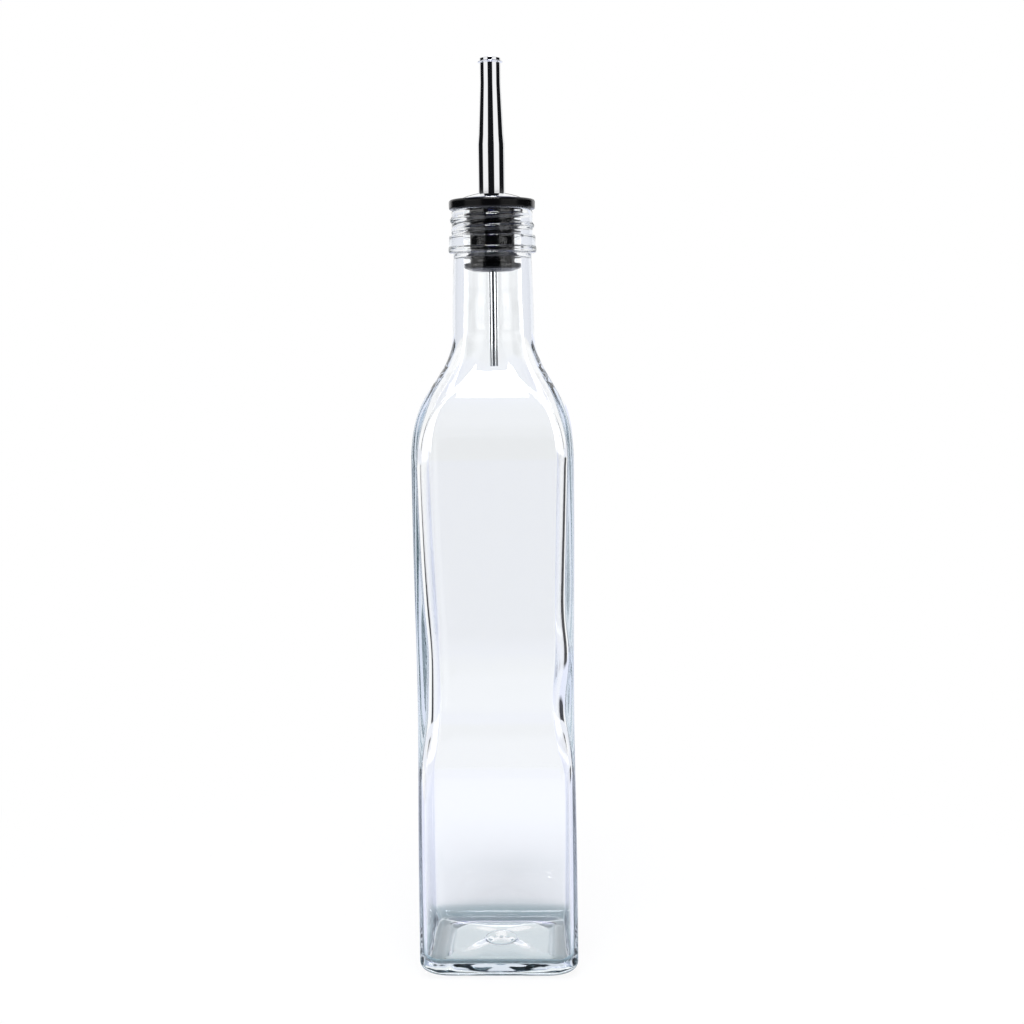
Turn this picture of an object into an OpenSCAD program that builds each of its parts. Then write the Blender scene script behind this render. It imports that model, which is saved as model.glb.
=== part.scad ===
// Glass oil bottle: a square clear glass bottle with a threaded neck finish, and a pourer made of
// a black moulded stopper, a steel spout, a dome washer and a thin air tube.
// All lengths are in millimetres. +Z is up, the bottle stands on z = 0 and its axis is the Z axis.

/* [Bottle body] */
// Width across the flats, just above the heel
body_width = 55.2; // [54:0.1:57]
// Height of the body, from the table to where the shoulder starts
body_height = 180; // [165:1:195]
// How much narrower the body is below the shoulder than above the heel
body_taper = 0.3; // [0:0.1:0.6]
// Radius of the four upright corners
corner_r = 5.6; // [5:0.1:7]
// How far each side dips in at the waist
waist_depth = 0.65; // [0.3:0.05:0.8]
// Height of the middle of the waist
waist_z = 98; // [90:1:110]
// Distance over which the waist fades out
waist_spread = 42; // [35:1:50]
// Radius of the roll between the sides and the base
heel_r = 5.5; // [4:0.5:6.5]
// Radius of the roll at the base's four corners
corner_heel_r = 7.5; // [6.5:0.5:8.5]
// Thickness of the side walls
wall = 3.0; // [2.6:0.1:3.2]
// How much rounder the inside corners are than an even wall would leave them
inner_round = 0.6; // [0.3:0.1:1.2]
// Radius of the roll between the inside walls and the floor
floor_roll = 4; // [3:0.5:6]
// Height of the inside floor at the walls
floor_z = 4.6; // [4.4:0.1:6]
// How far the middle of the inside floor is raised
floor_rise = 2.8; // [1:0.2:4]

/* [Base] */
// Width of the flat ring that the bottle stands on
bearing_w = 2.2; // [1.5:0.1:3]
// Height of the pushed-up middle of the base
punt_h = 2.2; // [1.6:0.1:2.8]
// Half width of the flat at the top of the push-up
punt_flat = 7.5; // [6.5:0.5:9]
// Radius of the round mould mark
mark_r = 5.7; // [5:0.1:6]
// How far the mould mark stands out
mark_h = 0.2; // [0.15:0.05:0.3]
// Width of the mould mark's ring
mark_w = 0.5; // [0.4:0.1:0.8]
// Distance between the pips in the ring
pip_gap = 2.2; // [1.8:0.1:2.4]
// Radius of a pip
pip_r = 0.45; // [0.35:0.05:0.6]

/* [Shoulder and neck] */
// Height of the shoulder, from the body to the foot of the neck
shoulder_rise = 44; // [40:1:48]
// Length of the neck, from its foot to the lip
neck_len = 41; // [38:0.5:46]
// How long the shoulder holds the body's direction
body_hold = 26; // [24:1:29]
// How long the shoulder holds the neck's direction
neck_hold = 18; // [16:1:20]
// Height over which the square corners turn round, up to the foot of the neck
corner_fade = 29; // [26:1:32]
// Radius of the neck at its foot
neck_r_low = 14.15; // [14:0.05:14.4]
// Radius of the neck part of the way up
neck_r_mid = 13.95; // [13.8:0.05:14.1]
// Height of that place above the foot of the neck
neck_mid = 12; // [10:1:14]
// Radius of the neck under the bead
neck_r_top = 13.45; // [13.2:0.05:13.6]

/* [Finish] */
// Radius of the bore at the mouth
bore_r = 10; // [9.9:0.05:10.2]
// Length of the straight bore below the lip
bore_len = 27; // [25:1:29]
// Radius of the finish between the threads
finish_r = 13.95; // [13.8:0.05:14.1]
// Height of the finish above the bead
finish_h = 9; // [8.5:0.1:9.5]
// Height of the bead
bead_h = 6; // [5.5:0.1:6.5]
// Radius of the upper part of the bead
bead_r = 14.95; // [14.8:0.05:15.1]
// Radius of the ring at the foot of the bead
bead_ring_r = 15.2; // [15.1:0.05:15.4]
// Height of that ring
bead_ring_h = 2.4; // [2:0.1:3]
// Radius of the rounding at the lip
lip_edge = 1.1; // [0.6:0.1:1.4]
// Rise of the thread above the finish
thread_h = 0.6; // [0.4:0.05:0.7]
// Pitch of the thread
thread_pitch = 3.9; // [3.4:0.1:4.2]
// Turns of the thread
thread_turns = 1.6; // [1.25:0.05:1.7]
// Height of the thread's start above the bead
thread_low = 1.1; // [1:0.1:1.4]
// Direction of the thread's start, in degrees
thread_start = 150; // [0:5:355]

/* [Stopper] */
// Radius of the flange that rests on the lip
flange_r = 14.85; // [14:0.05:15]
// Thickness of the flange
flange_h = 3.4; // [3:0.1:4]
// Radius of the rounding on the flange's upper edge
flange_edge = 0.9; // [0.5:0.1:1.3]
// Radius of the rounding on the flange's lower edge
flange_low_edge = 0.6; // [0.3:0.1:0.9]
// Radius of the core between the ribs
core_r = 7.8; // [7.5:0.1:8]
// Clearance between the sealing ribs and the bore
rib_clearance = 0.08; // [0.05:0.01:0.1]
// Thickness of a rib at its edge
rib_t = 0.5; // [0.4:0.1:0.7]
// Thickness of the disc near the foot
disc_t = 1.4; // [1.2:0.1:1.8]
// Height of the chamfer below the disc
disc_chamfer = 1.4; // [1:0.1:1.6]
// Length of the plug below the flange
plug_len = 21.3; // [21:0.1:22]

/* [Spout] */
// Height of the pouring lip above the glass lip
spout_rise = 51; // [48:0.5:54]
// Length of the narrow part at the top, with its lip
spout_narrow = 8.3; // [7:0.1:10]
// Length of the taper below it
spout_taper = 17.1; // [15:0.1:19]
// Length of the step from the taper to the shank
spout_step = 3.6; // [3:0.1:4.5]
// Outer radius at the top
spout_r_top = 3.52; // [3.4:0.01:3.6]
// Outer radius at the thick end of the taper
spout_r_taper = 4.28; // [4.2:0.01:4.35]
// Outer radius of the straight shank
shank_r = 4.58; // [4.5:0.01:4.7]
// Radius of the rolled lip
spout_lip_r = 4.28; // [4.1:0.01:4.4]
// Height of the rolled lip
spout_lip_h = 1.3; // [1:0.1:1.6]
// Thickness of the steel
steel_t = 0.45; // [0.4:0.05:0.5]
// How far the shank stops above the foot of the stopper
shank_short = 1.5; // [1:0.5:3]

/* [Dome and air tube] */
// Radius of the dome washer
dome_r = 11.65; // [11:0.05:12]
// Height of the dome if it had no hole
dome_h = 2.5; // [2.2:0.1:2.8]
// Thickness of the dome's metal
dome_t = 0.5; // [0.4:0.05:0.6]
// Outer radius of the air tube
air_r = 1.45; // [1.35:0.01:1.5]
// Thickness of the air tube's wall
air_t = 0.3; // [0.25:0.05:0.35]
// How far the air tube stops below the pouring lip
air_top_gap = 7; // [5:0.5:9]
// How far the air tube reaches below the glass lip
air_drop = 54.6; // [50:0.1:57]
// Clearance between the air tube and the inside of the spout
air_clearance = 0.01; // [0.01:0.01:0.05]

/* [Hidden] */
$fn = 96;
half_w = body_width / 2;
half_w_top = half_w - body_taper / 2;
neck_z = body_height + shoulder_rise;
lip_z = neck_z + neck_len;
bead_z = lip_z - finish_h - bead_h;
flange_top = lip_z + flange_h;
spout_top = lip_z + spout_rise;
foot_z = lip_z - plug_len;
rib_r = bore_r - rib_clearance;
bearing_out = half_w - heel_r;
bearing_in = bearing_out - bearing_w;
dome_arc_r = (dome_r * dome_r + dome_h * dome_h) / (2 * dome_h);
air_y = spout_r_top - steel_t - air_r - air_clearance;
air_low_z = lip_z - air_drop;
inner_corner_r = corner_r - wall + inner_round;
clear = 40;

// Heights of the middles of the sealing ribs, measured down from the lip
rib_drops = [2.3, 4.2, 6.1, 7.9, 13.9, 16.6];

// Half width of the body at height z, with the waist
function side_w(z) =
    half_w + (half_w_top - half_w) * z / body_height
    - waist_depth * exp(-pow((z - waist_z) / waist_spread, 2));

// Shoulder outline: a smooth S from the side of the body to the foot of the neck, u from 0 to 1
function s_curve(u) = [
    side_w(body_height) * pow(1 - u, 2) * (1 + 2 * u) + neck_r_low * u * u * (3 - 2 * u),
    body_height * pow(1 - u, 3) + 3 * (body_height + body_hold) * pow(1 - u, 2) * u
    + 3 * (neck_z - neck_hold) * (1 - u) * u * u + neck_z * pow(u, 3)
];

// The point at distance t inside the S curve, square to it
function s_inset(u, t) =
    let (a = s_curve(u - 0.01), b = s_curve(u + 0.01), d = (b - a) / norm(b - a))
    s_curve(u) + t * [-d[1], d[0]];

// A corner radius at height z: low up to the shoulder, turning into high at the foot of the neck
function fade(low, high, z) =
    let (s = max(0, min(1, 1 + (z - neck_z) / corner_fade)))
    low + (high - low) * s * s * (3 - 2 * s);

// The inside's upright edges over the shoulder, as a turned outline
function ridge(u) =
    let (p = s_inset(u, wall), r = fade(inner_corner_r, p[0], p[1]))
    [p[0] * sqrt(2) - r * (sqrt(2) - 1), p[1]];

// Points of a circle's arc about c, from one direction to the other
function arc(c, r, from, to, steps) =
    [for (i = [0:steps]) let (a = from + (to - from) * i / steps) c + r * [cos(a), sin(a)]];

function mirrored(pts) = concat(
    pts, [for (i = [len(pts) - 1:-1:0]) [-pts[i][0], pts[i][1]]]);

// Square with rounded corners, exact lines and arcs
module rounded_square(h, r) {
    square([2 * h, 2 * (h - r)], center = true);
    square([2 * (h - r), 2 * h], center = true);
    for (x = [-1, 1], y = [-1, 1])
        translate([x * (h - r), y * (h - r)]) circle(r);
}

// Front outline of the sides at distance t inside the glass, with the roll into the base
module side_outline(t, z_low, roll_r, shoulder) {
    w = side_w(0) - t;
    sides = [for (i = [1:7]) let (z = i * body_height / 8) [side_w(z) - t, z]];
    last = concat(sides, shoulder)[len(sides) + len(shoulder) - 1];
    polygon(mirrored(concat(
        arc([w - roll_r, z_low + roll_r], roll_r, -90, 0, 5), sides, shoulder,
        [[last[0], lip_z + 5]])));
}

// The square body at distance t inside the glass, open-ended at the top
module square_body(t, z_low, corner, roll_r, shoulder) {
    intersection() {
        translate([0, 0, z_low]) linear_extrude(lip_z) rounded_square(half_w - t, corner);
        rotate([90, 0, 0])
            linear_extrude(2 * clear, center = true) side_outline(t, z_low, roll_r, shoulder);
        rotate([90, 0, 90])
            linear_extrude(2 * clear, center = true) side_outline(t, z_low, roll_r, shoulder);
    }
}

// Shoulder: sections that turn from the square body into the round neck, as a stack of rings
module shoulder_loft() {
    n = 10;
    cover = 0.6;
    function section(w, z, r) = [for (q = [0:3], i = [0:n])
        let (a = 90 * q + 90 * i / n, c = 90 * q + 45)
        [(w - r) * sqrt(2) * cos(c) + r * cos(a), (w - r) * sqrt(2) * sin(c) + r * sin(a), z]];
    function turned(u) =
        let (p = s_curve(u), r = fade(corner_r, p[0] - 0.08, p[1]))
        section(p[0], p[1], r);
    stack = concat(
        [for (z = [-2, body_height - 8]) section(half_w + cover, z, corner_r + cover)],
        [for (i = [0:11]) turned(0.06 + 0.08 * i)],
        [section(neck_r_top - 1, neck_z + 3, neck_r_top - 1.3)]);
    m = 4 * (n + 1);
    last = m * (len(stack) - 1);
    points = [for (ring = stack, p = ring) p];
    sides = [for (k = [0:len(stack) - 2], i = [0:m - 1])
        let (a = k * m + i, b = k * m + (i + 1) % m)
        each [[a, a + m, b], [b, a + m, b + m]]];
    polyhedron(points, concat(
        sides, [[for (i = [0:m - 1]) i]], [[for (i = [m - 1:-1:0]) last + i]]));
}

// The neck, turned, with its foot let into the shoulder
module neck() {
    skin = 0.04;
    start = s_curve(0.82);
    rotate_extrude()
        polygon(concat(
            [[0, start[1] - 0.8], [start[0] - 0.6, start[1] - 0.8]],
            [for (u = [0.82, 0.88, 0.94, 1]) s_curve(u) + [skin, 0]],
            [[neck_r_mid, neck_z + neck_mid], [neck_r_top, bead_z + 1], [0, bead_z + 1]]));
}

// Rolls the base's four corners off, as the heel rolls the sides
module corner_roll() {
    reach = half_w * sqrt(2) - corner_r * (sqrt(2) - 1) + 0.15;
    rotate_extrude()
        polygon(concat(
            [[0, lip_z + 5], [0, 0]],
            arc([reach - corner_heel_r, corner_heel_r], corner_heel_r, -90, 0, 6),
            [[reach, lip_z + 5]]));
}

// The hollow: the square body's inside, capped by a turned shoulder that leads to the bore
module hollow() {
    split = 0.56;
    bore_low = lip_z - bore_len;
    intersection() {
        square_body(
            wall, floor_z - 0.5, inner_corner_r, floor_roll,
            [for (i = [0:9]) s_inset(i * 0.059, wall)]);
        rotate_extrude()
            polygon(concat(
                [[0, 0], [clear, 0], [clear, ridge(0.08)[1]]],
                [for (i = [0:6]) ridge(0.08 + i * 0.07) + [0.2, 0]],
                [for (i = [0:8]) s_inset(split + i * 0.054, wall)],
                [[bore_r + 0.35, bore_low - 4], [bore_r, bore_low], [bore_r, lip_z + 1],
                 [0, lip_z + 1]]));
    }
}

// The inside floor: a low four-sided hip whose slopes run out softly at the walls
module floor_hip() {
    span = half_w - wall - inner_round;
    slope = concat(
        [[clear, 0], [clear, floor_z]],
        [for (i = [0:9]) let (x = span * (1 - i / 10))
            [x, floor_z + floor_rise * (1 + cos(180 * x / span)) / 2]]);
    intersection() {
        rotate([90, 0, 0]) linear_extrude(2 * clear, center = true) polygon(mirrored(slope));
        rotate([90, 0, 90]) linear_extrude(2 * clear, center = true) polygon(mirrored(slope));
    }
}

// The push-up under the base: a four-sided hip with a flat top
module punt() {
    slope = [[bearing_in, -1], [bearing_in, 0.01], [punt_flat, punt_h]];
    intersection() {
        rotate([90, 0, 0]) linear_extrude(2 * clear, center = true) polygon(mirrored(slope));
        rotate([90, 0, 90]) linear_extrude(2 * clear, center = true) polygon(mirrored(slope));
    }
}

// Round mould mark: a raised ring with three pips
module mould_mark() {
    translate([0, 0, punt_h - mark_h]) difference() {
        cylinder(r = mark_r, h = mark_h + 1);
        translate([0, 0, -1]) cylinder(r = mark_r - mark_w, h = mark_h + 3);
    }
    for (i = [-1:1])
        translate([i * pip_gap, 0, punt_h - mark_h]) cylinder(r = pip_r, h = mark_h + 1);
}

// Lip, plain finish and bead, turned in one piece
module finish() {
    shelf = bead_z + bead_h;
    foot_edge = 0.8;
    shelf_edge = 0.5;
    rotate_extrude()
        polygon(concat(
            [[bore_r - 2, bead_z + 1], [neck_r_top - 0.4, bead_z]],
            arc([bead_ring_r - foot_edge, bead_z + foot_edge], foot_edge, -90, 0, 3),
            [[bead_ring_r - 0.06, bead_z + 0.75 * bead_ring_h], [bead_r, bead_z + bead_ring_h]],
            arc([bead_r - shelf_edge, shelf - shelf_edge], shelf_edge, 0, 90, 3),
            [[finish_r, shelf + 0.1]],
            arc([finish_r - lip_edge, lip_z - lip_edge], lip_edge, 0, 90, 4),
            [[bore_r - 2, lip_z]]));
}

// One-start right-hand thread that fades out at both ends
module thread() {
    steps = 44;
    z0 = lip_z - finish_h + thread_low;
    function lift(i) = thread_h * min(1, 5 * i / steps, 5 * (steps - i) / steps) + 0.01;
    function at(i, r, dz) =
        let (a = 360 * thread_turns * i / steps + thread_start)
        [r * cos(a), r * sin(a), z0 + thread_pitch * thread_turns * i / steps + dz];
    rings = [for (i = [0:steps], p = [
        [finish_r - 0.4, -1.0], [finish_r + lift(i), -0.3],
        [finish_r + lift(i), 0.3], [finish_r - 0.4, 1.0]]) at(i, p[0], p[1])];
    skin = [for (i = [0:steps - 1], k = [0:3])
        let (a = 4 * i + k, b = 4 * i + (k + 1) % 4) [a, b, b + 4, a + 4]];
    split = [for (f = skin, part = [[f[0], f[2], f[1]], [f[0], f[3], f[2]]]) part];
    polyhedron(rings, concat(
        split, [[0, 1, 2], [0, 2, 3]],
        [[4 * steps, 4 * steps + 2, 4 * steps + 1], [4 * steps, 4 * steps + 3, 4 * steps + 2]]));
}

module glass_bottle() {
    color([0.82, 0.9, 0.9, 0.45]) difference() {
        union() {
            intersection() {
                square_body(0, 0, corner_r, heel_r, []);
                shoulder_loft();
                corner_roll();
            }
            neck();
            finish();
            thread();
        }
        difference() {
            hollow();
            floor_hip();
        }
        difference() {
            punt();
            mould_mark();
        }
    }
}

module stopper() {
    function rib(z) = [
        [core_r, z + 0.9], [rib_r - 0.4, z + rib_t / 2 + 0.1], [rib_r, z + rib_t / 2],
        [rib_r, z - rib_t / 2], [core_r, z - 0.55]];
    ribs = [for (d = rib_drops, p = rib(lip_z - d)) p];
    disc_r = rib_r - 0.1;
    disc_low = foot_z + disc_chamfer;
    foot = [
        [core_r, disc_low + disc_t + 0.3], [disc_r - 0.2, disc_low + disc_t],
        [disc_r, disc_low + disc_t - 0.2], [disc_r, disc_low + 0.1],
        [disc_r - 0.4, disc_low - 0.3], [core_r - 0.4, foot_z], [shank_r, foot_z]];
    top = arc([flange_r - flange_edge, flange_top - flange_edge], flange_edge, 90, 0, 5);
    low = arc([flange_r - flange_low_edge, lip_z + flange_low_edge], flange_low_edge, 0, -90, 3);
    color([0.06, 0.06, 0.065]) rotate_extrude()
        polygon(concat([[shank_r, flange_top]], top, low, [[core_r, lip_z]], ribs, foot));
}

module spout_tube() {
    z = spout_top;
    taper_top = z - spout_narrow;
    taper_low = taper_top - spout_taper;
    step_low = taper_low - spout_step;
    low = foot_z + shank_short;
    outside = [
        [spout_r_top, z - spout_lip_h - 0.9], [spout_r_top, taper_top],
        [spout_r_taper, taper_low], [shank_r, step_low], [shank_r, low]];
    inside = [
        [shank_r - steel_t, low], [shank_r - steel_t, step_low],
        [spout_r_taper - steel_t, taper_low], [spout_r_top - steel_t, taper_top],
        [spout_r_top - steel_t, z - 0.5], [spout_r_top - steel_t + 0.15, z]];
    lip = [
        [spout_lip_r - 0.35, z], [spout_lip_r - 0.05, z - 0.2], [spout_lip_r, z - 0.55],
        [spout_lip_r - 0.15, z - 0.95], [spout_r_top + 0.2, z - spout_lip_h]];
    color([0.8, 0.81, 0.83]) rotate_extrude() polygon(concat(inside, lip, outside));
}

module dome_collar() {
    function bow(r, drop) =
        [r, flange_top + dome_h - drop - dome_arc_r + sqrt(dome_arc_r * dome_arc_r - r * r)];
    hole = shank_r + 0.03;
    span = dome_r - hole;
    rim_w = 0.9;
    over = [for (i = [0:10]) bow(hole + span * i / 10, 0)];
    under = [for (i = [0:9]) bow(hole + (span - rim_w) * (1 - i / 9), dome_t)];
    color([0.85, 0.86, 0.88]) rotate_extrude()
        polygon(concat(
            over, [[dome_r - 0.05, flange_top], [dome_r - rim_w - 0.3, flange_top]], under));
}

module breather_tube() {
    top = spout_top - air_top_gap;
    color([0.75, 0.76, 0.78]) translate([0, air_y, air_low_z]) difference() {
        cylinder(r = air_r, h = top - air_low_z);
        translate([0, 0, -1]) cylinder(r = air_r - air_t, h = top - air_low_z + 2);
    }
}

glass_bottle();
stopper();
spout_tube();
dome_collar();
breather_tube();
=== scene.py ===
import math

import bmesh
import bpy
from mathutils import Matrix, Vector


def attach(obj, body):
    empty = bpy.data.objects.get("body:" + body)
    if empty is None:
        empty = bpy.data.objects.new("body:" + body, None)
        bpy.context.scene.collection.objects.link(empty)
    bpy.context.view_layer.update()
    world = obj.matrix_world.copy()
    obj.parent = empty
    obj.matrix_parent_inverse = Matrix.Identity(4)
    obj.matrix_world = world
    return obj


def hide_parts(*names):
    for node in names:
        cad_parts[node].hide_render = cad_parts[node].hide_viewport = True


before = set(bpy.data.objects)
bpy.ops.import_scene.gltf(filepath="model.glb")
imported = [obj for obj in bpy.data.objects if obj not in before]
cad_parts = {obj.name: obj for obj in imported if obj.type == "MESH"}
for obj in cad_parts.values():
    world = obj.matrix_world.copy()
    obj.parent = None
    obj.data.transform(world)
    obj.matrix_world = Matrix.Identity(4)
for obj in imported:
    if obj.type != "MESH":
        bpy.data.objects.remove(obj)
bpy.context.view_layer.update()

MM = 0.001
TURN = 2 * math.pi


# ---------------------------------------------------------------- colours and nodes

def linear(hex_colour):
    """An sRGB hex colour as linear values."""
    parts = [int(hex_colour[i:i + 2], 16) / 255 for i in (0, 2, 4)]
    return [p / 12.92 if p <= 0.04045 else ((p + 0.055) / 1.055) ** 2.4 for p in parts] + [1.0]


def add(tree, kind, settings=None, **inputs):
    """Adds a node. Settings are its own properties, and inputs are values or sockets to link.
    An input is given by its name, or by its number as _0, _1 and so on."""
    node = tree.nodes.new(kind)
    for key, value in (settings or {}).items():
        setattr(node, key, value)
    for key, value in inputs.items():
        number = key[1:]
        socket = node.inputs[int(number) if number.isdigit() else key.replace("_", " ")]
        if isinstance(value, bpy.types.NodeSocket):
            tree.links.new(value, socket)
        else:
            socket.default_value = value
    return node


def step(tree, value, low, high, start=0.0, end=1.0, soft=False):
    """From start at low to end at high, and level outside them."""
    settings = {"interpolation_type": "SMOOTHSTEP"} if soft else None
    return add(tree, "ShaderNodeMapRange", settings, Value=value, From_Min=low, From_Max=high,
               To_Min=start, To_Max=end).outputs[0]


def calc(tree, operation, a, b=0.0):
    """One sum; b is left alone where the operation takes a single value."""
    return add(tree, "ShaderNodeMath", {"operation": operation}, _0=a, _1=b).outputs[0]


def at_least(tree, count, n):
    """1 where a whole count has got to n, otherwise 0."""
    return step(tree, count, n - 0.6, n - 0.4)


def fewer(tree, count, n):
    """1 where a whole count is less than n, otherwise 0."""
    return step(tree, count, n - 0.4, n - 0.6)


def mix(tree, factor, a, b):
    """Colour a where the factor is 0 and colour b where it is 1."""
    return add(tree, "ShaderNodeMix", {"data_type": "RGBA"}, Factor=factor, _6=a, _7=b).outputs[2]


def new_material(name):
    mat = bpy.data.materials.new(name)
    mat.use_nodes = True
    tree = mat.node_tree
    tree.nodes.clear()
    return mat, tree, tree.nodes.new("ShaderNodeOutputMaterial")


# ---------------------------------------------------------------- materials

def soda_lime_glass():
    """Soda-lime flint glass, blown in a mould: clear face on, blue-green where the path is long."""
    mat, t, out = new_material("soda_lime_glass")
    place = add(t, "ShaderNodeTexCoord").outputs["Object"]
    # Cooling in the mould leaves a slow ripple, about 20 mm across and a few microns deep
    ripple = add(t, "ShaderNodeTexNoise", Vector=place, Scale=1 / (20 * MM), Detail=1.0)
    bump = add(t, "ShaderNodeBump", Height=ripple.outputs["Fac"], Strength=0.25, Distance=0.02 * MM)
    glass = add(
        t, "ShaderNodeBsdfPrincipled", Base_Color=linear("ffffff"), Roughness=0.0, IOR=1.5,
        Transmission_Weight=1.0, Normal=bump.outputs["Normal"])
    tint = add(t, "ShaderNodeVolumeAbsorption", Color=linear("78bccc"), Density=3.2)
    t.links.new(glass.outputs[0], out.inputs["Surface"])
    t.links.new(tint.outputs[0], out.inputs["Volume"])
    return mat


def moulded_rubber():
    """Carbon-black synthetic rubber, pressed in a polished mould: a deep satin black."""
    mat, t, out = new_material("moulded_rubber")
    place = add(t, "ShaderNodeTexCoord").outputs["Object"]
    grain = add(t, "ShaderNodeTexNoise", Vector=place, Scale=1 / (0.4 * MM), Detail=3.0)
    bloom = add(t, "ShaderNodeTexNoise", Vector=place, Scale=1 / (5 * MM), Detail=2.0)
    rough = step(t, bloom.outputs["Fac"], 0.0, 1.0, 0.15, 0.21)
    bump = add(t, "ShaderNodeBump", Height=grain.outputs["Fac"], Strength=0.2, Distance=0.02 * MM)
    rubber = add(
        t, "ShaderNodeBsdfPrincipled", Base_Color=linear("060607"),
        Roughness=rough, IOR=1.37, Normal=bump.outputs["Normal"])
    t.links.new(rubber.outputs[0], out.inputs["Surface"])
    return mat


def polished_steel(name, colour, rough, streak_mm, depth_mm):
    """Steel that is smooth to the touch: a mirror, with the fine marks of its making round it."""
    mat, t, out = new_material(name)
    place = add(t, "ShaderNodeTexCoord").outputs["Object"]
    stretched = add(t, "ShaderNodeMapping", Vector=place, Scale=(1, 1, 12))
    marks = add(
        t, "ShaderNodeTexNoise", Vector=stretched.outputs[0], Scale=1 / (streak_mm * MM),
        Detail=1.0)
    smudge = add(t, "ShaderNodeTexNoise", Vector=place, Scale=1 / (6 * MM), Detail=2.0)
    roughness = step(t, smudge.outputs["Fac"], 0.0, 1.0, rough * 0.6, rough * 1.5)
    bump = add(
        t, "ShaderNodeBump", Height=marks.outputs["Fac"], Strength=0.15, Distance=depth_mm * MM)
    steel = add(
        t, "ShaderNodeBsdfPrincipled", Base_Color=linear(colour), Metallic=1.0,
        Roughness=roughness, Normal=bump.outputs["Normal"])
    t.links.new(steel.outputs[0], out.inputs["Surface"])
    return mat


GLASS = soda_lime_glass()
RUBBER = moulded_rubber()
# Stainless tube, buffed on a wheel: a clear bright mirror
SPOUT_STEEL = polished_steel("polished_stainless_steel", "f3f4f6", 0.03, 1.2, 0.0004)
# Pressed from sheet and chromed: as bright, and a little softer
DOME_CHROME = polished_steel("bright_chromed_steel", "f4f5f7", 0.04, 1.0, 0.0004)
# Drawn through a die and left as it comes: greyer, with blurred reflections
TUBE_STEEL = polished_steel("drawn_stainless_tube", "d9dcdf", 0.07, 0.8, 0.002)


# ---------------------------------------------------------------- making pieces

def finish_piece(name, bm, material, body, nodes):
    mesh = bpy.data.meshes.new(name)
    bm.to_mesh(mesh)
    bm.free()
    mesh.shade_smooth()
    mesh.materials.append(material)
    piece = bpy.data.objects.new(name, mesh)
    bpy.context.collection.objects.link(piece)
    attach(piece, body)
    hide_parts(*nodes)
    return piece


def rounded(points, steps=5):
    """A closed (r, z, fillet) outline in mm with an arc in place of each filleted corner.

    A point just before and after each corner keeps the shading of long straight runs flat."""
    out = []
    for i, (r, z, fillet) in enumerate(points):
        here = Vector((r, z))
        back = Vector(points[i - 1][:2]) - here
        on = Vector(points[(i + 1) % len(points)][:2]) - here
        fillet = fillet or 0.03
        half = back.angle(on) / 2
        cut = min(fillet / math.tan(half), back.length * 0.45, on.length * 0.45)
        hold = min(0.12, back.length * 0.04, on.length * 0.04)
        a, b = here + back.normalized() * cut, here + on.normalized() * cut
        out.append(a + back.normalized() * hold)
        for k in range(steps + 1):
            s = k / steps
            out.append(a * (1 - s) ** 2 + here * 2 * s * (1 - s) + b * s * s)
        out.append(b + on.normalized() * hold)
    return out


def lathe(outline, steps=144):
    """Spins a closed outline in mm round the Z axis into a solid ring."""
    bm = bmesh.new()
    verts = [bm.verts.new((p[0] * MM, 0, p[1] * MM)) for p in outline]
    edges = [bm.edges.new((verts[i - 1], verts[i])) for i in range(len(verts))]
    bmesh.ops.spin(
        bm, geom=verts + edges, axis=(0, 0, 1), cent=(0, 0, 0), angle=TURN, steps=steps,
        use_merge=True)
    bmesh.ops.remove_doubles(bm, verts=bm.verts, dist=1e-6)
    bmesh.ops.recalc_face_normals(bm, faces=bm.faces)
    return bm


# ---------------------------------------------------------------- glass bottle sizes, in mm

HALF_W, HALF_W_TOP = 27.6, 27.45
CORNER_R, INNER_R, HEEL_R = 5.6, 3.2, 5.5
# Corner radius of the foot ring: at its inner edge, then half way across
FOOT_CORNERS = (5.0, 6.8)
CENTRE_R = 0.35
FADE_LOW, FADE_H = 195.0, 26.0
# Blown glass is never even: (height, thickness on the left, on the right)
WALL_AT = [(0, 2.4, 2.4), (40, 2.2, 2.2), (66, 2.0, 1.9), (75, 2.3, 1.9), (81, 3.0, 2.7),
           (88, 3.9, 3.7), (96, 4.0, 4.1), (104, 4.1, 3.5), (113, 4.4, 2.8), (120, 4.2, 3.4),
           (129, 3.8, 3.9), (146, 3.4, 3.7), (167, 3.0, 3.3), (182, 2.8, 3.0),
           (200, 3.8, 3.8), (230, 3.6, 3.6)]
WAIST_DEPTH, WAIST_Z, WAIST_SPREAD = 0.65, 98.0, 42.0
SHOULDER_Z, NECK_Z = 180.0, 224.0
# How far the shoulder's curve keeps to the side below it, and to the neck above it
SIDE_PULL, NECK_PULL = 26.0, 18.0
NECK_R_LOW, NECK_R_MID, NECK_R_TOP = 14.15, 13.95, 13.45
NECK_MID_Z = 236.0
LIP_Z, BORE_R, BORE_LEN = 265.0, 10.0, 27.0
LIP_OUT_R, LIP_IN_R = 1.1, 0.8
FINISH_R, FINISH_H, BEAD_H = 13.95, 9.0, 6.0
BEAD_R, BEAD_RING_R = 14.95, 15.2
BEAD_Z = LIP_Z - FINISH_H - BEAD_H
THREAD_H, THREAD_PITCH, THREAD_TURNS = 0.6, 3.9, 1.6
THREAD_CREST, THREAD_FLANK, THREAD_FADE = 0.15, 1.0, 0.22
THREAD_LOW, THREAD_AIM = 1.1, 150
# The floor inside: a raised hip that fades out a little above the floor's edge
FLOOR_Z, FLOOR_RISE, FLOOR_R, FLOOR_REACH, FLOOR_FADE = 4.6, 2.8, 4.0, 24.0, 3.0
FLOOR_CORNER_R, GATHER_SPREAD = INNER_R * 0.7, 21.0
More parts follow.
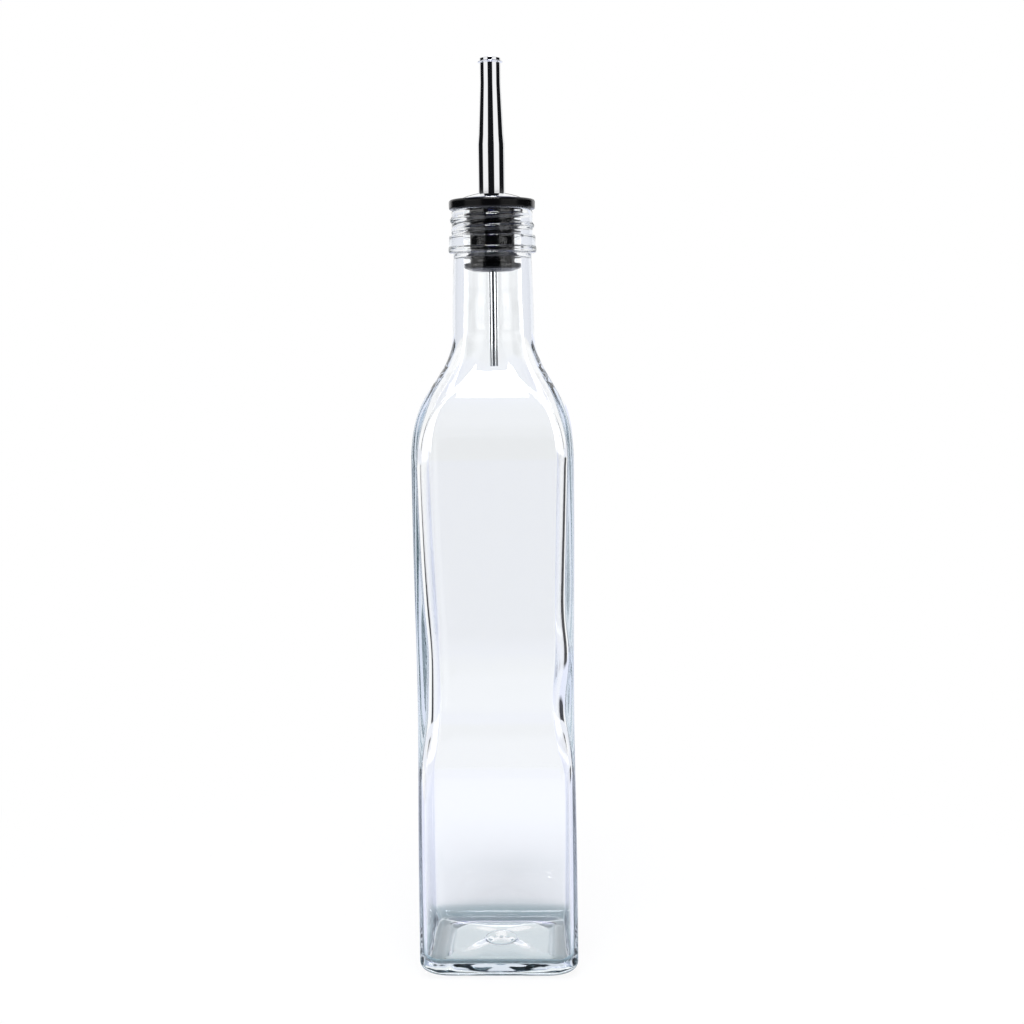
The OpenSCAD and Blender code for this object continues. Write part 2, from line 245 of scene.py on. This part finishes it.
# The push-up underneath: a step at its rim, then a low hip with the round mark in the middle
PUNT_H, PUNT_STEP_H, PUNT_STEP_W, PUNT_CORNER_R = 2.2, 0.9, 4.5, 3.6
MARK_REACH, MARK_R, MARK_W, MARK_H, MARK_EDGE_W = 7.5, 5.7, 0.5, 0.2, 0.32
PIP_R, PIP_GAP, PIP_EDGE_W = 0.62, 2.2, 0.3
MARK_RINGS, SLOPE_RINGS = 26, 20
BEARING_OUT, BEARING_IN = HALF_W - HEEL_R, HALF_W - HEEL_R - 2.2

FLAT_POINTS, CORNER_POINTS = 12, 28
RING = 4 * (FLAT_POINTS + CORNER_POINTS)


def smooth(x):
    x = max(0.0, min(1.0, x))
    return x * x * (3 - 2 * x)


def spaced(count, first=1):
    """Fractions of a run, from first / count up to 1."""
    return [i / count for i in range(first, count + 1)]


def part_way(a, b, k):
    return a + (b - a) * k


def side_w(z):
    """Half the width across the flats at height z, with its slight waist."""
    return (HALF_W + (HALF_W_TOP - HALF_W) * z / SHOULDER_Z
            - WAIST_DEPTH * math.exp(-((z - WAIST_Z) / WAIST_SPREAD) ** 2))


def s_curve(u):
    """The outline of the shoulder, as (half width, height), from the body (0) to the neck (1)."""
    w0 = side_w(SHOULDER_Z)
    return Vector((
        w0 * (1 - u) ** 2 * (1 + 2 * u) + NECK_R_LOW * u * u * (3 - 2 * u),
        SHOULDER_Z * (1 - u) ** 3 + 3 * (SHOULDER_Z + SIDE_PULL) * (1 - u) ** 2 * u
        + 3 * (NECK_Z - NECK_PULL) * (1 - u) * u * u + NECK_Z * u ** 3))


def s_inset(u, t):
    """A point t inside the shoulder's outline, square to it."""
    d = (s_curve(u + 0.01) - s_curve(u - 0.01)).normalized()
    return s_curve(u) + t * Vector((-d.y, d.x))


def wall(z, side=0):
    """Thickness at height z on the left (side -1), on the right (1) or between them (0)."""
    total = 0
    for at in (z - 5, z - 2.5, z, z + 2.5, z + 5):
        at = max(0, min(WALL_AT[-1][0] - 1, at))
        n = next(i for i in range(len(WALL_AT)) if WALL_AT[i + 1][0] > at)
        (z0, *low), (z1, *high) = WALL_AT[n], WALL_AT[n + 1]
        left, right = (a + (b - a) * (at - z0) / (z1 - z0) for a, b in zip(low, high))
        total += (left * (1 - side) + right * (1 + side)) / 2
    return total / 5


def corner(z, w, r):
    """The corner radius of a section: r up the body, growing into a full circle at the neck."""
    return r + (w - r) * smooth((z - FADE_LOW) / (NECK_Z - FADE_LOW))


def ring_points(w, r, even):
    """One section: a square of half width w with corner radius r. Its points crowd into the
    corners, or lie evenly round it as even goes from 0 to 1."""
    points = []
    flat = w - r
    for q in range(4):
        for i in range(FLAT_POINTS + CORNER_POINTS):
            if i < CORNER_POINTS:
                a = TURN / 4 * i / (CORNER_POINTS - 1)
                a = math.atan2(flat + r * math.sin(a), flat + r * math.cos(a))
            else:
                k = (i - CORNER_POINTS + 1) / (FLAT_POINTS + 1)
                a = math.atan2(w, flat * (1 - 2 * k))
            spread = TURN / 4 * (i / (FLAT_POINTS + CORNER_POINTS)) + SHIFT
            a = a * (1 - even) + spread * even
            along, across = sorted((abs(math.cos(a)), abs(math.sin(a))), reverse=True)
            reach = w / along
            if reach * across > flat:
                mid = flat * (along + across)
                reach = mid + math.sqrt(max(mid * mid - 2 * flat * flat + r * r, 0))
            x, y = reach * math.cos(a), reach * math.sin(a)
            for _ in range(q):
                x, y = -y, x
            points.append((x, y))
    return points


# The corner arc is centred at 45 degrees, so the even spacing starts where its middle agrees
SHIFT = TURN / 8 - TURN / 4 * (CORNER_POINTS - 1) / 2 / (FLAT_POINTS + CORNER_POINTS)


def thread_rise(x, y, z):
    """How far the thread lifts the finish at a point, in mm."""
    start = LIP_Z - FINISH_H + THREAD_LOW
    angle = (math.atan2(y, x) - math.radians(THREAD_AIM)) % TURN
    rise = 0.0
    for lap in range(3):
        turns = angle / TURN + lap
        if turns > THREAD_TURNS:
            break
        fade = smooth(turns / THREAD_FADE) * smooth((THREAD_TURNS - turns) / THREAD_FADE)
        away = abs(z - start - THREAD_PITCH * turns)
        rise = max(rise, THREAD_H * fade * smooth(1 - (away - THREAD_CREST) / THREAD_FLANK))
    return rise


def shoulder_ring(point, r):
    """The section at a point of the shoulder; r is the corner radius it starts from."""
    w, z = point
    return w, z, corner(z, w, r), smooth((z - FADE_LOW) / FADE_H)


def outer_rings():
    """Sections of the outside from the middle of the base up to the lip, as (half width,
    height, corner radius, how evenly its points are spaced)."""
    rings = []
    for k in spaced(MARK_RINGS - 1, 0):
        w = CENTRE_R + (MARK_REACH - 0.5) * k
        rim = MARK_H * smooth(1 - abs(w - (MARK_R - MARK_W / 2)) / MARK_EDGE_W)
        rings.append((w, PUNT_H - rim, w, 1))
    for k in spaced(SLOPE_RINGS):
        w = part_way(MARK_REACH, BEARING_IN, k)
        rings.append((w, PUNT_H, part_way(w, PUNT_CORNER_R, smooth(k)), 1 - k))
    rings.append((BEARING_IN + 0.35, 0, FOOT_CORNERS[0], 0))
    rings.append(((BEARING_IN + BEARING_OUT) / 2, 0, FOOT_CORNERS[1], 0))
    # The heel rolls in further at the corners
    for k in spaced(12, 0):
        a = TURN / 4 * k
        inset = HEEL_R * (1 - math.sin(a))
        rings.append((side_w(0) - inset, HEEL_R * (1 - math.cos(a)), CORNER_R + inset / 2, 0))
    for k in spaced(43):
        z = part_way(HEEL_R, SHOULDER_Z - 2, k)
        rings.append((side_w(z), z, CORNER_R, 0))
    rings += [shoulder_ring(s_curve(k), CORNER_R) for k in spaced(40)]
    for k in spaced(14):
        z = part_way(NECK_Z, BEAD_Z, k)
        if z < NECK_MID_Z:
            r = part_way(NECK_R_LOW, NECK_R_MID, smooth((z - NECK_Z) / (NECK_MID_Z - NECK_Z)))
        else:
            r = part_way(NECK_R_MID, NECK_R_TOP, (z - NECK_MID_Z) / (BEAD_Z - NECK_MID_Z))
        rings.append((r, z, r, 1))
    ring_top, shelf = BEAD_Z + 2.4, BEAD_Z + BEAD_H
    finish = rounded([
        (NECK_R_TOP, BEAD_Z - 0.2, 0), (NECK_R_TOP, BEAD_Z + 0.15, 0.3),
        (BEAD_RING_R, BEAD_Z + 0.3, 0.9), (BEAD_RING_R, BEAD_Z + 1.9, 0.6),
        (BEAD_R, ring_top, 0.5), (BEAD_R, shelf, 0.6), (FINISH_R, shelf + 0.15, 0.25)])
    rings += [(p.x, p.y, p.x, 1) for p in finish[1:]]
    low = finish[-1].y
    for k in spaced(40):
        rings.append((FINISH_R, part_way(low, LIP_Z - LIP_OUT_R, k), FINISH_R, 1))
    for k in spaced(8):
        a = TURN / 4 * k
        r = FINISH_R - LIP_OUT_R * (1 - math.cos(a))
        rings.append((r, LIP_Z - LIP_OUT_R * (1 - math.sin(a)), r, 1))
    return rings


def inner_rings():
    """Sections of the inside from the lip down to the middle of the floor."""
    rings = []
    for k in spaced(8, 0):
        a = TURN / 4 * k
        r = BORE_R + LIP_IN_R * (1 - math.sin(a))
        rings.append((r, LIP_Z - LIP_IN_R * (1 - math.cos(a)), r, 1))
    low = LIP_Z - BORE_LEN
    for k in spaced(14):
        rings.append((BORE_R, part_way(LIP_Z - LIP_IN_R, low, k), BORE_R, 1))
    foot = s_inset(1, wall(NECK_Z))
    for k in spaced(12):
        r = part_way(BORE_R, foot.x, smooth(k))
        rings.append((r, part_way(low, foot.y, k), r, 1))
    for k in spaced(40):
        u = 1 - k
        rings.append(shoulder_ring(s_inset(u, wall(s_curve(u).y)), INNER_R))
    top = rings[-1][1]
    # Round the waist the glass has gathered in the corners
    for k in spaced(80):
        z = part_way(top, FLOOR_Z + FLOOR_R, k)
        gathered = math.exp(-((z - WAIST_Z) / GATHER_SPREAD) ** 2)
        rings.append((side_w(z) - wall(z), z, INNER_R + gathered, 0))
    w = rings[-1][0]
    for k in spaced(10):
        a = TURN / 4 * k
        rings.append((w - FLOOR_R * (1 - math.cos(a)), FLOOR_Z + FLOOR_R * (1 - math.sin(a)),
                      INNER_R, 0))
    for k in spaced(30):
        half = part_way(w - FLOOR_R, CENTRE_R, k)
        rings.append((half, FLOOR_Z, part_way(FLOOR_CORNER_R, half, smooth(k)), smooth(k)))
    return rings


def hip(x, y, reach):
    """A low four-sided hip of height 1, with a soft crease running in from each corner."""
    across = (abs(x) ** 6 + abs(y) ** 6) ** (1 / 6)
    return (1 + math.cos(math.pi * min(1, across / reach))) / 2


def glass_bottle():
    """One closed skin, grown section by section: up the outside, over the lip, down inside."""
    bm = bmesh.new()
    outside, inside = outer_rings(), inner_rings()
    made = bmesh.ops.create_circle(bm, cap_ends=True, segments=RING, radius=1)
    ring = sorted(made["verts"], key=lambda v: math.atan2(v.co.y, v.co.x) % TURN)
    for n, (w, z, r, even) in enumerate(outside + inside):
        if n:
            edges = [bm.edges.get((ring[i - 1], ring[i])) for i in range(RING)]
            grown = bmesh.ops.extrude_edge_only(bm, edges=edges)
            new = {g for g in grown["geom"] if isinstance(g, bmesh.types.BMVert)}
            ring = [next(e.other_vert(v) for e in v.link_edges if e.other_vert(v) in new)
                    for v in ring]
        for v, (x, y) in zip(ring, ring_points(w, min(r, w), even)):
            zz = z
            if n < len(outside):
                if z > LIP_Z - FINISH_H and w > FINISH_R - 0.01:
                    lift = 1 + thread_rise(x, y, z) / w
                    x, y = x * lift, y * lift
                if n < MARK_RINGS + SLOPE_RINGS:
                    zz -= (PUNT_H - PUNT_STEP_H) * (1 - hip(x, y, BEARING_IN))
                    zz -= PUNT_STEP_H * smooth(1 - (BEARING_IN - w) / PUNT_STEP_W)
                if n < MARK_RINGS:
                    for pip in (-PIP_GAP, 0, PIP_GAP):
                        zz -= MARK_H * smooth((PIP_R - math.hypot(x - pip, y)) / PIP_EDGE_W)
            elif z < SHOULDER_Z:
                across = side_w(z) - wall(z, 1 if x > 0 else -1)
                x *= across / (side_w(z) - wall(z))
                near_floor = smooth(1 - (z - FLOOR_Z) / (FLOOR_R + FLOOR_FADE))
                zz += FLOOR_RISE * hip(x, y, FLOOR_REACH) * near_floor
            v.co = (x * MM, y * MM, zz * MM)
    bmesh.ops.contextual_create(bm, geom=ring)
    bmesh.ops.recalc_face_normals(bm, faces=bm.faces)
    return finish_piece("bottle_glass", bm, GLASS, "bottle", ["glass_bottle"])


# ---------------------------------------------------------------- pourer sizes, in mm

FLANGE_R, FLANGE_H, CORE_R, RIB_R = 14.85, 3.4, 7.8, BORE_R - 0.08
FLANGE_TOP, FOOT_Z, SHANK_R = LIP_Z + FLANGE_H, LIP_Z - 21.3, 4.58
RIB_DROPS = (2.3, 4.2, 6.1, 7.9, 13.9, 16.6)
# The outline of a rib: (radius, height above the rib's drop, fillet)
RIB = ((CORE_R, 0.75, 0.2), (RIB_R, 0.25, 0.12), (RIB_R, -0.2, 0.12), (CORE_R, -0.4, 0.2))
SPOUT_TOP, SPOUT_R, TAPER_R, STEEL_T, SPOUT_LIP_R = LIP_Z + 51, 3.52, 4.28, 0.45, 4.28
# How far below its tip the spout starts to taper, ends its taper, and turns into the shank
TAPER_FROM, TAPER_TO, SHANK_FROM = 8.3, 25.4, 28.8
DOME_R, DOME_H, DOME_T = 11.65, 2.5, 0.5
AIR_R, AIR_T, AIR_LOW = 1.45, 0.3, 210.4


def stopper():
    outline = [(SHANK_R, FLANGE_TOP, 0), (FLANGE_R, FLANGE_TOP, 1.1), (FLANGE_R, LIP_Z, 0.7),
               (CORE_R, LIP_Z, 0.2)]
    for drop in RIB_DROPS:
        outline += [(r, LIP_Z - drop + up, fillet) for r, up, fillet in RIB]
    outline += [(CORE_R, FOOT_Z + 3.1, 0.2), (RIB_R - 0.1, FOOT_Z + 2.7, 0.25),
                (RIB_R - 0.1, FOOT_Z + 1.1, 0.9), (CORE_R - 1.2, FOOT_Z, 3),
                (SHANK_R, FOOT_Z, 0)]
    return finish_piece(
        "stopper_rubber", lathe(rounded(outline)), RUBBER, "pourer", ["stopper"])


def spout():
    z, r, end = SPOUT_TOP, SPOUT_R, FOOT_Z + 1.5
    outline = [
        (SHANK_R - STEEL_T, end, 0), (SHANK_R - STEEL_T, z - SHANK_FROM - 0.2, 0),
        (TAPER_R - STEEL_T, z - TAPER_TO, 4), (r - STEEL_T, z - TAPER_FROM, 0),
        (r - STEEL_T, z - 0.6, 0.4), (r - STEEL_T + 0.1, z, 0.1), (r + 0.05, z, 0.12),
        (r + 0.05, z - 1.0, 0.1), (SPOUT_LIP_R, z - 1.15, 0.1), (SPOUT_LIP_R, z - 1.35, 0.1),
        (r, z - 1.55, 0.2), (r, z - TAPER_FROM, 12), (TAPER_R, z - TAPER_TO, 2.5),
        (SHANK_R, z - SHANK_FROM, 2.5), (SHANK_R, end, 0)]
    return finish_piece(
        "spout_steel", lathe(rounded(outline, 8)), SPOUT_STEEL, "pourer", ["spout_tube"])


def dome():
    arc_r = (DOME_R ** 2 + DOME_H ** 2) / (2 * DOME_H)
    hole = SHANK_R + 0.03

    def arc(r, drop):
        return (r, FLANGE_TOP + DOME_H - drop - arc_r + math.sqrt(arc_r ** 2 - r * r), 0)

    outline = [arc(part_way(hole + 0.1, DOME_R - 0.8, k), 0) for k in spaced(24, 0)]
    outline += [(DOME_R, FLANGE_TOP + 0.32, 0.4), (DOME_R, FLANGE_TOP, 0.03),
                (DOME_R - 1.2, FLANGE_TOP, 0)]
    outline += [arc(part_way(DOME_R - 1.2, hole, k), DOME_T) for k in spaced(16, 0)]
    outline.append((hole, arc(hole, 0)[1] - 0.1, 0))
    return finish_piece(
        "dome_chrome", lathe(rounded(outline)), DOME_CHROME, "pourer", ["dome_collar"])


def air_tube():
    top = SPOUT_TOP - 7
    outline = [(AIR_R - AIR_T, AIR_LOW, 0.08), (AIR_R - AIR_T, top, 0.08), (AIR_R, top, 0.1),
               (AIR_R, AIR_LOW, 0.1)]
    bm = lathe(rounded(outline, 3), 64)
    bmesh.ops.translate(
        bm, verts=bm.verts, vec=(0, (SPOUT_R - STEEL_T - AIR_R - 0.01) * MM, 0))
    return finish_piece(
        "air_tube_steel", bm, TUBE_STEEL, "pourer", ["breather_tube"])


glass_bottle()
stopper()
spout()
dome()
air_tube()


# ---------------------------------------------------------------- floor, light and camera

def floor():
    """A white table: it keeps the bottle's soft shadow and melts into the backdrop further off.
    In reflections it ends about 0.3 m to either side and 0.5 m in front, and the room shows
    past it."""
    mat, t, out = new_material("white_table")
    place = add(t, "ShaderNodeTexCoord").outputs["Object"]
    at = add(t, "ShaderNodeSeparateXYZ", Vector=place).outputs
    away = add(t, "ShaderNodeVectorMath", {"operation": "LENGTH"}, _0=place).outputs["Value"]
    path = add(t, "ShaderNodeLightPath").outputs
    straight = path["Is Camera Ray"]
    mirrored = at_least(t, path["Glossy Depth"], 1)

    # Glow is painted light: it makes up for the light that the bottle keeps off its own table.
    # Straight from the camera it is nearly all glow; through the glass there is less of it, and
    # least of all under the foot ring, where a square ring of less glow paints its contact shade
    spread = add(t, "ShaderNodeVectorMath", {"operation": "ABSOLUTE"}, _0=place).outputs[0]
    sides = add(t, "ShaderNodeSeparateXYZ", Vector=spread).outputs
    square = calc(t, "MAXIMUM", sides["X"], sides["Y"])
    # Painted contact shade: a square ring of less glow under the foot ring, seen through the glass
    # and in reflections
    painted_contact_shade = step(t, square, 0.017, 0.021, 0.6, 0.12, soft=True)
    beyond = step(t, square, 0.025, 0.04, 0.0, 0.2, soft=True)
    least = step(t, straight, 0.0, 1.0, calc(t, "ADD", painted_contact_shade, beyond), 0.9)
    melt = step(t, away, 0.04, 0.3, least, 1.0, soft=True)
    looked_at = calc(t, "MAXIMUM", straight, path["Is Transmission Ray"])
    share = calc(t, "MULTIPLY", calc(t, "MAXIMUM", looked_at, mirrored), melt)

    # Painted tinted shadow: near the middle, seen through the glass or in reflections, the paint is
    # a dark blue-grey and the glow pale blue, for the light that comes down through the glass and
    # tints the table just under the base
    plain = calc(t, "MAXIMUM", step(t, away, 0.034, 0.06, soft=True), straight)
    painted_shadow_paint = mix(t, plain, linear("7898a4"), linear("eff2fa"))
    # Painted light of the glow: near white through the glass, lavender-white in reflections, pure
    # white straight from the camera
    pale = mix(t, mirrored, linear("fbfdff"), linear("eaeeff"))
    pale = mix(t, straight, pale, linear("ffffff"))
    painted_tint_glow = mix(t, plain, linear("eefaff"), pale)
    paint = add(t, "ShaderNodeBsdfDiffuse", Color=painted_shadow_paint)
    glow = add(t, "ShaderNodeEmission", Color=painted_tint_glow, Strength=1.0)
    top = add(t, "ShaderNodeMixShader", _0=share, _1=paint.outputs[0], _2=glow.outputs[0])

    past_left = step(t, at["X"], -0.24, -0.28)
    past_right = step(t, at["X"], 0.3, 0.36)
    past_front = step(t, at["Y"], -0.44, -0.6)
    past = calc(t, "MAXIMUM", calc(t, "MAXIMUM", past_left, past_right), past_front)
    clear = add(t, "ShaderNodeBsdfTransparent")
    whole = add(t, "ShaderNodeMixShader", _0=calc(t, "MULTIPLY", past, mirrored),
                _1=top.outputs[0], _2=clear.outputs[0])
    t.links.new(whole.outputs[0], out.inputs["Surface"])
    bm = bmesh.new()
    bmesh.ops.create_grid(bm, x_segments=1, y_segments=1, size=6.0)
    bmesh.ops.translate(bm, verts=bm.verts, vec=(0, 0, -0.1 * MM))
    mesh = bpy.data.meshes.new("table_top")
    bm.to_mesh(mesh)
    bm.free()
    mesh.materials.append(mat)
    table = bpy.data.objects.new("table_top", mesh)
    bpy.context.collection.objects.link(table)


def studio():
    """The room as steel and glass see it. Round from the camera: a door, dark, a tall soft box
    either side, dark again, then the white backdrop. Steel and the skin of the glass see other
    furniture (the bare set) than the light that is turned inside the glass (the turned set).

    Heights in the room are the upward part of a direction: 0 is eye level, 1 is overhead."""
    world = bpy.data.worlds.new("studio")
    bpy.context.scene.world = world
    world.use_nodes = True
    t = world.node_tree
    t.nodes.clear()
    way = add(t, "ShaderNodeTexCoord").outputs["Generated"]
    part = add(t, "ShaderNodeSeparateXYZ", Vector=way).outputs
    rise = part["Z"]
    round_ = calc(t, "ARCTAN2", part["X"], calc(t, "MULTIPLY", part["Y"], -1.0))
    aside = calc(t, "ABSOLUTE", round_)
    where = step(t, round_, -math.pi, math.pi)
    path = add(t, "ShaderNodeLightPath").outputs
    dark, white, teal, mist = "141518", "ffffff", "1c3c44", "eef1f9"
    boxes = [(9, dark), (25, dark), (28, white), (72, white)]
    narrow_boxes = [(9, dark), (25, dark), (28, white), (62, white)]
    boxes_apart = [(9, dark), (32, dark), (38, white), (68, white)]
    no_boxes = [(9, dark), (72, dark)]

    def between(value, low, high):
        """The same as step, for angles in degrees."""
        return step(t, value, math.radians(low), math.radians(high))

    def both(a, b):
        return calc(t, "MULTIPLY", a, b)

    def walls(left, right, near=boxes):
        """Colours round the room, as (degrees from the camera's side, colour) for each side."""
        stops = [(-d, c) for d, c in reversed(near + left)] + near + right
        ramp = add(t, "ShaderNodeValToRGB", Fac=where)
        points = ramp.color_ramp.elements
        while len(points) < len(stops):
            points.new(0.5)
        for point, (degrees, colour) in zip(points, stops):
            point.position = 0.5 + degrees / 360
            point.color = linear(colour)
        return ramp.outputs[0]

    inside = at_least(t, path["Transmission Depth"], 1)
    deeper = at_least(t, path["Transmission Depth"], 3)
    below = step(t, rise, -0.03, -0.045)
    backdrop = [(80, white)]
    plain_walls = walls(backdrop, backdrop, no_boxes)

    # Bare, below eye level: mist, with a dark pillar either side and a teal screen on the left
    pillar = [(80, mist), (98, mist), (101, teal), (116, teal), (119, mist)]
    screen = [(77, teal), (152, teal), (160, mist)]
    low = mix(t, step(t, rise, -0.2, -0.185), walls(pillar, pillar), walls(screen, pillar))
    # Higher up, steel sees dark walls at its sides; the soft boxes start over the flange
    sides = [(76, dark), (132, dark), (139, white)]
    tall = both(step(t, rise, 0.084, 0.087), step(t, rise, 0.38, 0.32))
    bare = mix(t, tall, plain_walls, walls(sides, sides))
    bare = mix(t, step(t, rise, 0.087, 0.084), bare, walls(sides, sides, no_boxes))
    # A dark shelf behind the bottle draws the rim of the dome
    shelf = both(between(aside, 164, 168),
                 both(step(t, rise, 0.075, 0.085), step(t, rise, 0.29, 0.26)))
    bare = mix(t, below, mix(t, shelf, bare, linear("202126")), low)

    # Turned: dark strips draw the thin lines down the edges of the body
    strip = [(76, dark), (98, dark), (103, white)]
    high = walls(strip, [(66, dark), (102, dark), (107, white)], narrow_boxes)
    level = both(step(t, rise, -0.045, -0.03), step(t, rise, 0.13, 0.1))
    turned = mix(t, level, high, plain_walls)
    turned = mix(t, below, turned, walls(strip, [(76, dark), (126, dark), (132, white)]))
    # What the thin glass of the neck turns aside comes from the pale walls
    turned = mix(t, both(both(level, between(aside, 74, 80)), 0.85), turned, linear("eceff8"))
    # The stopper and the air tube, seen through the neck, mirror the two bright soft boxes
    lit = add(t, "ShaderNodeVectorMath", {"operation": "SCALE"},
              _0=walls(sides, sides, boxes_apart))
    lit.inputs["Scale"].default_value = 3.0
    turned = mix(t, both(level, deeper), turned, lit.outputs[0])
    # Light that is turned many times in a corner comes out as an even mist, or teal from ahead
    often = at_least(t, path["Glossy Depth"], 2)
    ahead = both(between(round_, -50, -40), between(round_, 95, 85))
    ahead = both(both(ahead, below), step(t, rise, -0.4, -0.36))
    turned = mix(t, often, turned, mix(t, ahead, linear(mist), linear(teal)))

    room = mix(t, inside, bare, turned)
    # The door shows only in light that has turned once or twice
    once = both(fewer(t, path["Transmission Depth"], 3), fewer(t, path["Glossy Depth"], 2))
    doorway = both(both(between(aside, 12, 9), below), once)
    room = mix(t, doorway, room, mix(t, inside, linear("30343f"), linear("8490f0")))
    # The ceiling is a dull blue, so the lamp alone makes the bright patch on the shoulder
    room = mix(t, step(t, rise, 0.7, 0.76), room, linear("7d87b4"))

    mirrored = at_least(t, path["Glossy Depth"], 1)
    plain = mix(t, path["Is Camera Ray"], linear("fbfdff"), linear("ffffff"))
    plain = mix(t, path["Is Diffuse Ray"], plain, linear("e2e2e2"))
    glow = add(t, "ShaderNodeBackground", Color=mix(t, mirrored, plain, room), Strength=1.0)
    out = t.nodes.new("ShaderNodeOutputWorld")
    t.links.new(glow.outputs[0], out.inputs["Surface"])


def lamp(name, place, size, power):
    """A soft box at a place in metres, turned to the middle of the bottle."""
    light = bpy.data.lights.new(name, "AREA")
    light.shape, light.size, light.size_y, light.energy = "RECTANGLE", size[0], size[1], power
    obj = bpy.data.objects.new(name, light)
    obj.location = place
    aim = Vector((0, 0, 0.16)) - Vector(place)
    obj.rotation_euler = aim.to_track_quat("-Z", "Y").to_euler()
    bpy.context.collection.objects.link(obj)


def camera():
    """A lens of 56 mm on a 36 mm frame, 560 mm away, a little below the mouth of the bottle."""
    away, height, azimuth = 560 * MM, 222 * MM, math.radians(2.5)
    pitch, pan, roll = math.radians(6.31), math.radians(-0.578), math.radians(-0.7)
    cam = bpy.data.cameras.new("camera")
    cam.sensor_width, cam.lens = 36.0, 56.25
    obj = bpy.data.objects.new("camera", cam)
    obj.location = (away * math.sin(azimuth), -away * math.cos(azimuth), height)
    turn = azimuth + pan
    ahead = Vector((-math.sin(turn) * math.cos(pitch), math.cos(turn) * math.cos(pitch),
                    -math.sin(pitch)))
    base = ahead.to_track_quat("-Z", "Y").to_matrix().to_4x4()
    obj.matrix_world = (Matrix.Translation(obj.location) @ base
                        @ Matrix.Rotation(roll, 4, "Z"))
    cam.clip_start, cam.clip_end = 0.01, 20
    bpy.context.collection.objects.link(obj)
    bpy.context.scene.camera = obj


# Light crosses the thick glass many times before it gets out
for bounces in ("max_bounces", "glossy_bounces", "transmission_bounces"):
    setattr(bpy.context.scene.cycles, bounces, 24)

floor()
studio()
lamp("soft_box_above", (0, -0.49, 1.14), (0.5, 0.24), 9)
camera()

bpy.context.scene.view_settings.view_transform = "Standard"
